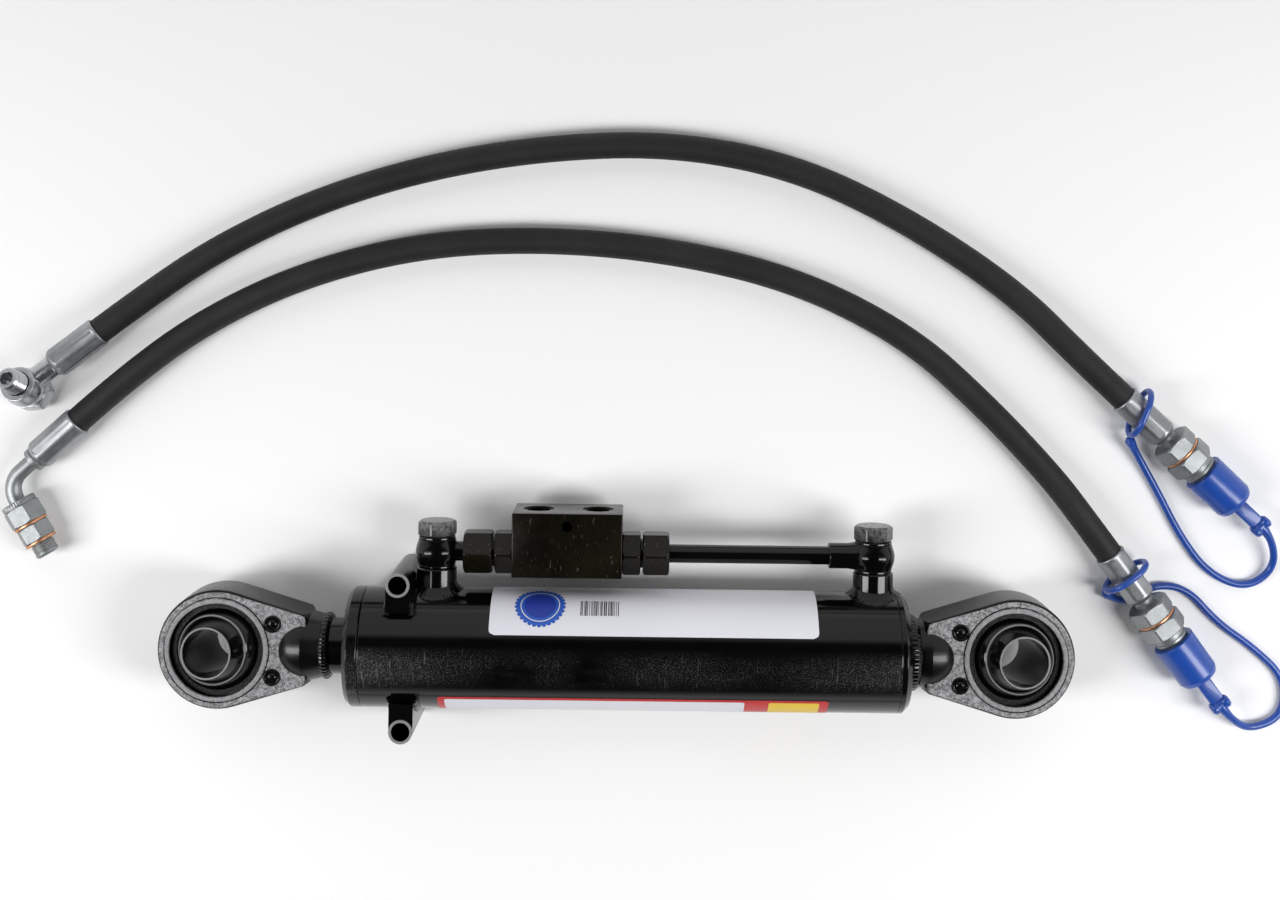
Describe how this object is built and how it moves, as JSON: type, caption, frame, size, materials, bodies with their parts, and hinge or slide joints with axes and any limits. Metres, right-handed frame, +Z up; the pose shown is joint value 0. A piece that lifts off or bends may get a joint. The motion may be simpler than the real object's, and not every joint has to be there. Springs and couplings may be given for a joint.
{
  "type": "hydraulic tractor top link",
  "caption": "Hydraulic top link with a ball eye at each end, a pilot check valve block on the barrel and a pair of hoses with capped couplers lying beside it.",
  "frame": {"origin": "centre of the ball in the base eye", "axes": "+X from the rod end to the base end along the link, +Y towards the ports, +Z up from the surface it lies on"},
  "size_m": [0.7316, 0.3366, 0.065],
  "materials": {
    "black_paint": "glossy black enamel",
    "black_oxide": "black oxide over machined steel",
    "bright_steel": "plain machined steel",
    "hard_chrome": "ground and hard chromed",
    "zinc_plate": "bright bluish zinc plate",
    "copper": "soft copper",
    "hose_rubber": "matt wrapped rubber",
    "seal_rubber": "moulded rubber",
    "guide_plastic": "moulded nylon",
    "blue_pvc": "soft blue vinyl"
  },
  "bodies": {
    "link_body": {"barrel_tube": "black_paint", "base_cap": "black_paint", "base_eye": "black_paint", "base_weld": "black_paint", "gland_head": "black_paint", "rod_seal": "seal_rubber", "wiper_ring": "seal_rubber", "gland_ring": "seal_rubber", "rod_port_boss": "black_paint", "base_port_boss": "black_paint", "rod_side_banjo": "black_paint", "base_side_banjo": "black_paint", "banjo_bolts": "black_paint", "port_washers": "black_paint", "rod_side_adapter": "black_oxide", "base_side_adapter": "black_oxide", "rod_side_union_nut": "black_oxide", "base_side_union_nut": "black_oxide", "cross_pipe": "black_paint", "valve_block": "black_oxide", "rod_side_check_spring": "bright_steel", "base_side_check_spring": "bright_steel", "upper_holder_sleeve": "black_paint", "lower_holder_sleeve": "black_paint", "holder_saddles": "black_paint", "upper_hose": "hose_rubber", "lower_hose": "hose_rubber", "hose_ferrules": "zinc_plate", "coupler_nuts": "zinc_plate", "hose_washers": "copper", "upper_coupler_body": "zinc_plate", "lower_coupler_body": "zinc_plate", "upper_coupler_spring": "bright_steel", "lower_coupler_spring": "bright_steel", "upper_strap": "blue_pvc", "lower_strap": "blue_pvc", "upper_strap_loop": "blue_pvc", "lower_strap_loop": "blue_pvc", "lower_elbow_tube": "zinc_plate", "lower_elbow_nut": "zinc_plate", "lower_elbow_adapter": "zinc_plate", "upper_hose_banjo": "zinc_plate", "upper_hose_bolt": "zinc_plate"},
    "packings": {"piston_seal": "seal_rubber", "piston_guide_rings": "guide_plastic"},
    "rod": {"piston_rod": "hard_chrome", "piston": "bright_steel", "piston_nut": "bright_steel", "rod_eye": "black_paint", "rod_weld": "black_paint"},
    "rod_end_ball": {"rod_ball": "bright_steel"},
    "base_end_ball": {"base_ball": "bright_steel"},
    "pilot": {"pilot_piston": "bright_steel"},
    "rod_side_check": {"rod_side_check_poppet": "bright_steel"},
    "base_side_check": {"base_side_check_poppet": "bright_steel"},
    "upper_coupler_valve": {"upper_coupler_poppet": "bright_steel"},
    "lower_coupler_valve": {"lower_coupler_poppet": "bright_steel"},
    "upper_cap": {"upper_dust_cap": "blue_pvc"},
    "lower_cap": {"lower_dust_cap": "blue_pvc"}
  },
  "joints": [
    {"name": "rod_slide", "type": "slide", "parent": "link_body", "child": "packings", "axis": [-1, 0, 0], "range_m": [0, 0.2]},
    {"name": "rod_spin", "type": "hinge", "parent": "packings", "child": "rod", "pos_m": [-0.435, 0, 0], "axis": [1, 0, 0], "continuous": true},
    {"name": "rod_ball_swivel", "type": "hinge", "parent": "rod", "child": "rod_end_ball", "pos_m": [-0.435, 0, 0], "axis": [0, 1, 0], "range_deg": [-8.3, 21.7]},
    {"name": "base_ball_swivel", "type": "hinge", "parent": "link_body", "child": "base_end_ball", "pos_m": [0, 0, 0], "axis": [0, 1, 0], "range_deg": [-20, 10]},
    {"name": "pilot_slide", "type": "slide", "parent": "link_body", "child": "pilot", "axis": [1, 0, 0], "range_m": [0, 0.0025]},
    {"name": "base_side_check_slide", "type": "slide", "parent": "link_body", "child": "base_side_check", "axis": [1, 0, 0], "range_m": [0, 0.0025], "stiffness_N_per_m": 800, "springref_m": -0.003, "deforming": ["base_side_check_spring"]},
    {"name": "rod_side_check_slide", "type": "slide", "parent": "link_body", "child": "rod_side_check", "axis": [-1, 0, 0], "range_m": [0, 0.0025], "stiffness_N_per_m": 800, "springref_m": -0.003, "deforming": ["rod_side_check_spring"]},
    {"name": "upper_coupler_valve_slide", "type": "slide", "parent": "link_body", "child": "upper_coupler_valve", "axis": [-0.7386, 0.6742, 0], "range_m": [0, 0.005], "stiffness_N_per_m": 1000, "springref_m": -0.003, "deforming": ["upper_coupler_spring"]},
    {"name": "lower_coupler_valve_slide", "type": "slide", "parent": "link_body", "child": "lower_coupler_valve", "axis": [-0.6023, 0.7983, 0], "range_m": [0, 0.005], "stiffness_N_per_m": 1000, "springref_m": -0.003, "deforming": ["lower_coupler_spring"]},
    {"name": "upper_cap_slide", "type": "slide", "parent": "link_body", "child": "upper_cap", "axis": [0.7386, -0.6742, 0], "range_m": [0, 0.03], "deforming": ["upper_strap"]},
    {"name": "lower_cap_slide", "type": "slide", "parent": "link_body", "child": "lower_cap", "axis": [0.6023, -0.7983, 0], "range_m": [0, 0.03], "deforming": ["lower_strap"]}
  ],
  "couplings": [
    {"joint": "base_side_check_slide", "follows": "pilot_slide", "ratio": 1}
  ]
}
